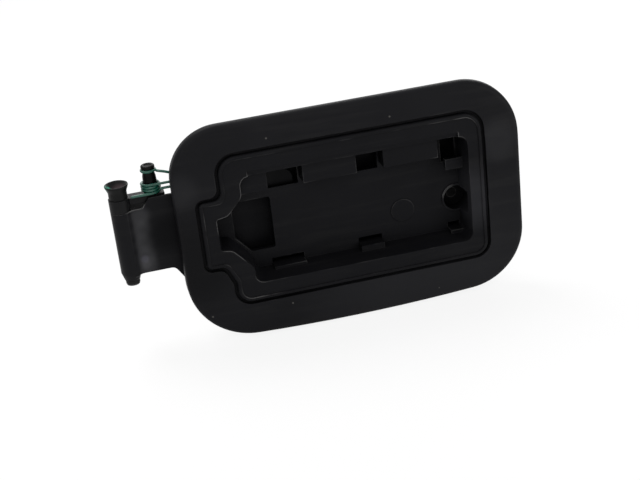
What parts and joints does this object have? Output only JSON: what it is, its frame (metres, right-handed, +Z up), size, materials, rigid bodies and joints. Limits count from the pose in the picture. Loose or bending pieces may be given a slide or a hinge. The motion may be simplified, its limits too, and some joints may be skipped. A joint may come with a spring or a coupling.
{
  "type": "fuel filler flap unit",
  "caption": "Hinged fuel filler flap unit: rounded outer flange, recessed clip tray for a painted lid, hinge arm with barrel, and a fork bracket with pin and spring.",
  "frame": {"origin": "centre of the bracket's screw pattern, on the bracket's rear mounting face", "axes": "+X from the hinge towards the free edge, +Y into the car, +Z up along the hinge axis"},
  "size_m": [0.2351, 0.047, 0.1295],
  "materials": {
    "flange_plastic": "fine grain, satin",
    "tray_plastic": "fine grain",
    "arm_plastic": "satin",
    "bush_plastic": "turned",
    "screw_steel": "black zinc",
    "pin_plastic": "satin",
    "stop_rubber": "matt",
    "bracket_plastic": "satin",
    "spring_green": "green coating"
  },
  "bodies": {
    "bracket": {"hinge_bracket": "bracket_plastic", "hinge_pin": "pin_plastic", "pin_clip": "screw_steel", "spring_post": "pin_plastic", "hinge_spring": "spring_green"},
    "flap": {"flap_plate": "flange_plastic", "carrier_tray": "tray_plastic", "hinge_arm": "arm_plastic", "upper_bush": "bush_plastic", "lower_bush": "bush_plastic", "arm_screws": "screw_steel", "inner_cover": "tray_plastic", "cover_screws": "screw_steel", "latch_pin": "pin_plastic", "bump_stops": "stop_rubber"}
  },
  "joints": [
    {"name": "flap_hinge", "type": "hinge", "parent": "bracket", "child": "flap", "pos_m": [-0.0205, -0.017, 0], "axis": [0, 0, -1], "range_deg": [0, 85], "stiffness_Nm_per_rad": 0.05, "springref_deg": -11.46}
  ]
}
